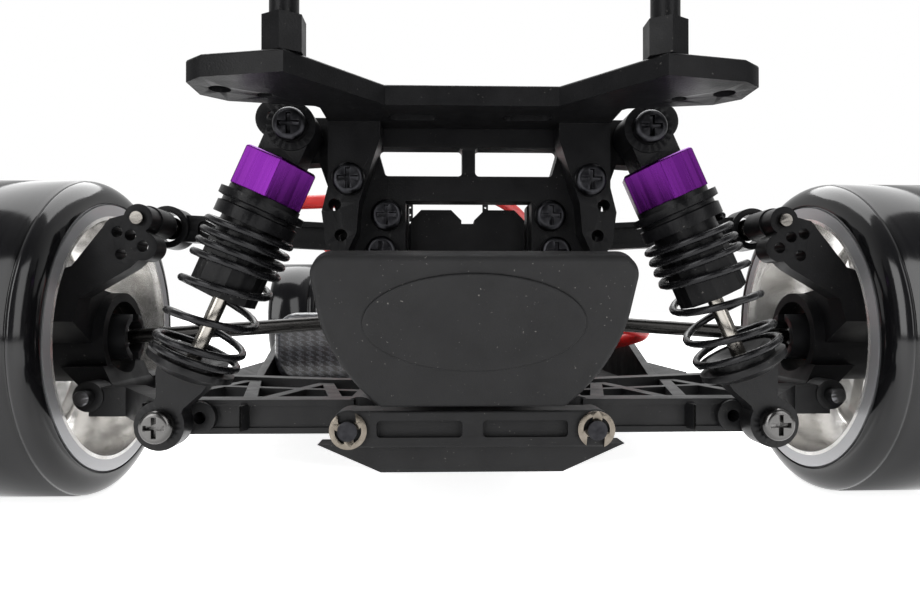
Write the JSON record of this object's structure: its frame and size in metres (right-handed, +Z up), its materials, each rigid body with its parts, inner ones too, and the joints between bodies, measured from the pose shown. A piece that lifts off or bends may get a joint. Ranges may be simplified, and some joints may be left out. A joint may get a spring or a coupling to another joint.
{
  "type": "rc drift car",
  "caption": "Shaft-driven four-wheel-drive model drift car with its body shell off: steering, sprung arms and a live drive train.",
  "frame": {"origin": "on the ground below the middle of the car's length and width", "axes": "+X to the car's right, +Y forward, +Z up"},
  "size_m": [0.198, 0.38, 0.112],
  "materials": {
    "black_plastic": "fine moulded grain, slightly soft sheen",
    "tyre_rubber": "hard polished drift compound",
    "silver_plated": "satin silver plating",
    "spring_wire": "black coated wire",
    "purple_anodised": "bright purple anodising, turned",
    "drive_steel": "ground steel",
    "black_steel": "black oxide",
    "motor_can": "satin grey",
    "battery_wrap": "woven-look shrink wrap",
    "case_plastic": "semi gloss",
    "red_silicone": "silicone lead",
    "foam_black": "moulded bumper",
    "rack_alloy": "satin"
  },
  "bodies": {
    "chassis": {"chassis_tub": "black_plastic", "gearbox_cases": "black_plastic", "shock_towers": "black_plastic", "body_mounts": "black_plastic", "rear_guard": "black_plastic", "front_bumper": "foam_black", "fasteners": "black_steel", "motor": "motor_can", "servo": "case_plastic", "battery": "battery_wrap", "speed_controller": "case_plastic", "power_leads": "red_silicone"},
    "rear_left_arm": {"rear_left_lower_arm": "black_plastic"},
    "rear_left_hub": {"rear_left_hub": "black_plastic"},
    "rear_left_wheel": {"rear_left_tyre": "tyre_rubber", "rear_left_rim": "silver_plated"},
    "rear_left_link": {"rear_left_upper_link": "black_plastic"},
    "rear_left_drive": {"rear_left_drive_shaft": "drive_steel"},
    "rear_left_shock": {"rear_left_shock_body": "black_plastic", "rear_left_shock_spring": "spring_wire", "rear_left_shock_cap": "purple_anodised"},
    "rear_left_rod": {"rear_left_shock_rod": "black_plastic"},
    "rear_right_arm": {"rear_right_lower_arm": "black_plastic"},
    "rear_right_hub": {"rear_right_hub": "black_plastic"},
    "rear_right_wheel": {"rear_right_tyre": "tyre_rubber", "rear_right_rim": "silver_plated"},
    "rear_right_link": {"rear_right_upper_link": "black_plastic"},
    "rear_right_drive": {"rear_right_drive_shaft": "drive_steel"},
    "rear_right_shock": {"rear_right_shock_body": "black_plastic", "rear_right_shock_spring": "spring_wire", "rear_right_shock_cap": "purple_anodised"},
    "rear_right_rod": {"rear_right_shock_rod": "black_plastic"},
    "front_left_arm": {"front_left_lower_arm": "black_plastic"},
    "front_left_c_hub": {"front_left_c_hub": "black_plastic"},
    "front_left_knuckle": {"front_left_knuckle": "black_plastic"},
    "front_left_wheel": {"front_left_tyre": "tyre_rubber", "front_left_rim": "silver_plated"},
    "front_left_link": {"front_left_upper_link": "black_plastic"},
    "front_left_drive": {"front_left_drive_shaft": "drive_steel"},
    "front_left_shock": {"front_left_shock_body": "black_plastic", "front_left_shock_spring": "spring_wire"},
    "front_left_rod": {"front_left_shock_rod": "black_plastic"},
    "front_right_arm": {"front_right_lower_arm": "black_plastic"},
    "front_right_c_hub": {"front_right_c_hub": "black_plastic"},
    "front_right_knuckle": {"front_right_knuckle": "black_plastic"},
    "front_right_wheel": {"front_right_tyre": "tyre_rubber", "front_right_rim": "silver_plated"},
    "front_right_link": {"front_right_upper_link": "black_plastic"},
    "front_right_drive": {"front_right_drive_shaft": "drive_steel"},
    "front_right_shock": {"front_right_shock_body": "black_plastic", "front_right_shock_spring": "spring_wire"},
    "front_right_rod": {"front_right_shock_rod": "black_plastic"},
    "front_left_tie": {"front_left_tie_rod": "black_plastic"},
    "front_right_tie": {"front_right_tie_rod": "black_plastic"},
    "rack": {"steering_rack": "rack_alloy"},
    "horn": {"servo_horn": "black_plastic"},
    "centre": {"centre_shaft": "drive_steel"},
    "pinion": {"motor_pinion": "drive_steel"},
    "rear_diff": {"rear_differential": "drive_steel"},
    "front_diff": {"front_differential": "drive_steel"}
  },
  "joints": [
    {"name": "rear_left_arm_swing", "type": "hinge", "parent": "chassis", "child": "rear_left_arm", "pos_m": [-0.0182, -0.13, 0.0206], "axis": [0, 1, 0], "range_deg": [-3, 8], "stiffness_Nm_per_rad": 2, "springref_deg": -2.52},
    {"name": "rear_left_hub_pivot", "type": "hinge", "parent": "rear_left_arm", "child": "rear_left_hub", "pos_m": [-0.072, -0.13, 0.0216], "axis": [0, 1, 0], "range_deg": [-8.5, 3.5]},
    {"name": "rear_left_wheel_spin", "type": "hinge", "parent": "rear_left_hub", "child": "rear_left_wheel", "pos_m": [-0.086, -0.13, 0.0325], "axis": [1, 0, 0], "continuous": true},
    {"name": "rear_left_link_swing", "type": "hinge", "parent": "chassis", "child": "rear_left_link", "pos_m": [-0.022, -0.13, 0.0535], "axis": [0, 1, 0], "range_deg": [-4.6, 11.4]},
    {"name": "rear_left_drive_spin", "type": "hinge", "parent": "rear_left_arm", "child": "rear_left_drive", "pos_m": [-0.0145, -0.13, 0.0364], "axis": [0.9977, 0, 0.0677], "continuous": true},
    {"name": "rear_left_shock_swing", "type": "hinge", "parent": "chassis", "child": "rear_left_shock", "pos_m": [-0.0278, -0.1675, 0.0666], "axis": [0, 1, 0], "range_deg": [-1, 2.2]},
    {"name": "rear_left_rod_slide", "type": "slide", "parent": "rear_left_shock", "child": "rear_left_rod", "axis": [0.4058, 0, 0.914], "range_m": [-0.0016, 0.0042], "deforming": ["rear_left_shock_spring"]},
    {"name": "rear_right_arm_swing", "type": "hinge", "parent": "chassis", "child": "rear_right_arm", "pos_m": [0.0182, -0.13, 0.0206], "axis": [0, -1, 0], "range_deg": [-3, 8], "stiffness_Nm_per_rad": 2, "springref_deg": -2.52},
    {"name": "rear_right_hub_pivot", "type": "hinge", "parent": "rear_right_arm", "child": "rear_right_hub", "pos_m": [0.072, -0.13, 0.0216], "axis": [0, -1, 0], "range_deg": [-8.5, 3.5]},
    {"name": "rear_right_wheel_spin", "type": "hinge", "parent": "rear_right_hub", "child": "rear_right_wheel", "pos_m": [0.086, -0.13, 0.0325], "axis": [1, 0, 0], "continuous": true},
    {"name": "rear_right_link_swing", "type": "hinge", "parent": "chassis", "child": "rear_right_link", "pos_m": [0.022, -0.13, 0.0535], "axis": [0, -1, 0], "range_deg": [-4.6, 11.4]},
    {"name": "rear_right_drive_spin", "type": "hinge", "parent": "rear_right_arm", "child": "rear_right_drive", "pos_m": [0.0145, -0.13, 0.0364], "axis": [0.9977, 0, -0.0677], "continuous": true},
    {"name": "rear_right_shock_swing", "type": "hinge", "parent": "chassis", "child": "rear_right_shock", "pos_m": [0.0278, -0.1675, 0.0666], "axis": [0, -1, 0], "range_deg": [-1, 2.2]},
    {"name": "rear_right_rod_slide", "type": "slide", "parent": "rear_right_shock", "child": "rear_right_rod", "axis": [-0.4058, 0, 0.914], "range_m": [-0.0016, 0.0042], "deforming": ["rear_right_shock_spring"]},
    {"name": "front_left_arm_swing", "type": "hinge", "parent": "chassis", "child": "front_left_arm", "pos_m": [-0.0182, 0.13, 0.0206], "axis": [0, 1, 0], "range_deg": [-3, 8], "stiffness_Nm_per_rad": 2, "springref_deg": -2.52},
    {"name": "front_left_hub_pivot", "type": "hinge", "parent": "front_left_arm", "child": "front_left_c_hub", "pos_m": [-0.072, 0.13, 0.0216], "axis": [0, 1, 0], "range_deg": [-8.5, 3.5]},
    {"name": "front_left_steer", "type": "hinge", "parent": "front_left_c_hub", "child": "front_left_knuckle", "pos_m": [-0.079, 0.13, 0.0325], "axis": [0, 0, 1], "range_deg": [-24, 24]},
    {"name": "front_left_wheel_spin", "type": "hinge", "parent": "front_left_knuckle", "child": "front_left_wheel", "pos_m": [-0.086, 0.13, 0.0325], "axis": [1, 0, 0], "continuous": true},
    {"name": "front_left_link_swing", "type": "hinge", "parent": "chassis", "child": "front_left_link", "pos_m": [-0.022, 0.13, 0.0535], "axis": [0, 1, 0], "range_deg": [-4.6, 11.4]},
    {"name": "front_left_drive_spin", "type": "hinge", "parent": "front_left_arm", "child": "front_left_drive", "pos_m": [-0.0145, 0.13, 0.0364], "axis": [0.9982, 0, 0.0604], "continuous": true},
    {"name": "front_left_shock_swing", "type": "hinge", "parent": "chassis", "child": "front_left_shock", "pos_m": [-0.0278, 0.1675, 0.0666], "axis": [0, 1, 0], "range_deg": [-1, 2.2]},
    {"name": "front_left_rod_slide", "type": "slide", "parent": "front_left_shock", "child": "front_left_rod", "axis": [0.4058, 0, 0.914], "range_m": [-0.0016, 0.0042], "deforming": ["front_left_shock_spring"]},
    {"name": "front_right_arm_swing", "type": "hinge", "parent": "chassis", "child": "front_right_arm", "pos_m": [0.0182, 0.13, 0.0206], "axis": [0, -1, 0], "range_deg": [-3, 8], "stiffness_Nm_per_rad": 2, "springref_deg": -2.52},
    {"name": "front_right_hub_pivot", "type": "hinge", "parent": "front_right_arm", "child": "front_right_c_hub", "pos_m": [0.072, 0.13, 0.0216], "axis": [0, -1, 0], "range_deg": [-8.5, 3.5]},
    {"name": "front_right_steer", "type": "hinge", "parent": "front_right_c_hub", "child": "front_right_knuckle", "pos_m": [0.079, 0.13, 0.0325], "axis": [0, 0, 1], "range_deg": [-24, 24]},
    {"name": "front_right_wheel_spin", "type": "hinge", "parent": "front_right_knuckle", "child": "front_right_wheel", "pos_m": [0.086, 0.13, 0.0325], "axis": [1, 0, 0], "continuous": true},
    {"name": "front_right_link_swing", "type": "hinge", "parent": "chassis", "child": "front_right_link", "pos_m": [0.022, 0.13, 0.0535], "axis": [0, -1, 0], "range_deg": [-4.6, 11.4]},
    {"name": "front_right_drive_spin", "type": "hinge", "parent": "front_right_arm", "child": "front_right_drive", "pos_m": [0.0145, 0.13, 0.0364], "axis": [0.9982, 0, -0.0604], "continuous": true},
    {"name": "front_right_shock_swing", "type": "hinge", "parent": "chassis", "child": "front_right_shock", "pos_m": [0.0278, 0.1675, 0.0666], "axis": [0, -1, 0], "range_deg": [-1, 2.2]},
    {"name": "front_right_rod_slide", "type": "slide", "parent": "front_right_shock", "child": "front_right_rod", "axis": [-0.4058, 0, 0.914], "range_m": [-0.0016, 0.0042], "deforming": ["front_right_shock_spring"]},
    {"name": "rack_slide", "type": "slide", "parent": "chassis", "child": "rack", "axis": [1, 0, 0], "range_m": [-0.0063, 0.0063]},
    {"name": "front_left_tie_swing", "type": "hinge", "parent": "rack", "child": "front_left_tie", "pos_m": [-0.0182, 0.115, 0.0286], "axis": [0, 1, 0], "range_deg": [-3, 7.5]},
    {"name": "front_right_tie_swing", "type": "hinge", "parent": "rack", "child": "front_right_tie", "pos_m": [0.0182, 0.115, 0.0286], "axis": [0, -1, 0], "range_deg": [-3, 7.5]},
    {"name": "horn_swing", "type": "hinge", "parent": "chassis", "child": "horn", "pos_m": [-0.02, 0.1074, 0.0263], "axis": [0, 1, 0], "range_deg": [-25, 25]},
    {"name": "rear_diff_spin", "type": "hinge", "parent": "chassis", "child": "rear_diff", "pos_m": [0, -0.13, 0.0364], "axis": [1, 0, 0], "continuous": true},
    {"name": "front_diff_spin", "type": "hinge", "parent": "chassis", "child": "front_diff", "pos_m": [0, 0.13, 0.0364], "axis": [1, 0, 0], "continuous": true},
    {"name": "centre_shaft_spin", "type": "hinge", "parent": "chassis", "child": "centre", "pos_m": [0, 0, 0.0364], "axis": [0, 1, 0], "continuous": true},
    {"name": "motor_pinion_spin", "type": "hinge", "parent": "chassis", "child": "pinion", "pos_m": [0.02497, -0.0137, 0.0352], "axis": [0, 1, 0], "continuous": true}
  ],
  "couplings": [
    {"joint": "rear_left_hub_pivot", "follows": "rear_left_arm_swing", "ratio": -1},
    {"joint": "rear_left_wheel_spin", "follows": "rear_right_wheel_spin", "ratio": 1},
    {"joint": "rear_left_link_swing", "follows": "rear_left_arm_swing", "ratio": 1.355},
    {"joint": "rear_left_drive_spin", "follows": "rear_right_wheel_spin", "ratio": 1},
    {"joint": "rear_left_shock_swing", "follows": "rear_left_arm_swing", "ratio": 0.23},
    {"joint": "rear_left_rod_slide", "follows": "rear_left_arm_swing", "m_per_rad": 0.0278},
    {"joint": "rear_right_hub_pivot", "follows": "rear_right_arm_swing", "ratio": -1},
    {"joint": "rear_right_link_swing", "follows": "rear_right_arm_swing", "ratio": 1.355},
    {"joint": "rear_right_drive_spin", "follows": "rear_right_wheel_spin", "ratio": 1},
    {"joint": "rear_right_shock_swing", "follows": "rear_right_arm_swing", "ratio": 0.23},
    {"joint": "rear_right_rod_slide", "follows": "rear_right_arm_swing", "m_per_rad": 0.0278},
    {"joint": "front_left_hub_pivot", "follows": "front_left_arm_swing", "ratio": -1},
    {"joint": "front_left_wheel_spin", "follows": "rear_right_wheel_spin", "ratio": 1},
    {"joint": "front_left_link_swing", "follows": "front_left_arm_swing", "ratio": 1.355},
    {"joint": "front_left_drive_spin", "follows": "rear_right_wheel_spin", "ratio": 1},
    {"joint": "front_left_shock_swing", "follows": "front_left_arm_swing", "ratio": 0.23},
    {"joint": "front_left_rod_slide", "follows": "front_left_arm_swing", "m_per_rad": 0.0278},
    {"joint": "front_right_hub_pivot", "follows": "front_right_arm_swing", "ratio": -1},
    {"joint": "front_right_wheel_spin", "follows": "rear_right_wheel_spin", "ratio": 1},
    {"joint": "front_right_link_swing", "follows": "front_right_arm_swing", "ratio": 1.355},
    {"joint": "front_right_drive_spin", "follows": "rear_right_wheel_spin", "ratio": 1},
    {"joint": "front_right_shock_swing", "follows": "front_right_arm_swing", "ratio": 0.23},
    {"joint": "front_right_rod_slide", "follows": "front_right_arm_swing", "m_per_rad": 0.0278},
    {"joint": "front_left_steer", "follows": "front_right_steer", "ratio": 1},
    {"joint": "rack_slide", "follows": "front_right_steer", "m_per_rad": 0.0147},
    {"joint": "front_left_tie_swing", "follows": "front_left_arm_swing", "ratio": 0.885},
    {"joint": "front_right_tie_swing", "follows": "front_right_arm_swing", "ratio": 0.885},
    {"joint": "horn_swing", "follows": "front_right_steer", "ratio": 1},
    {"joint": "rear_diff_spin", "follows": "rear_right_wheel_spin", "ratio": 1},
    {"joint": "front_diff_spin", "follows": "rear_right_wheel_spin", "ratio": 1},
    {"joint": "centre_shaft_spin", "follows": "rear_right_wheel_spin", "ratio": -2.5},
    {"joint": "motor_pinion_spin", "follows": "rear_right_wheel_spin", "ratio": 6.5217}
  ]
}
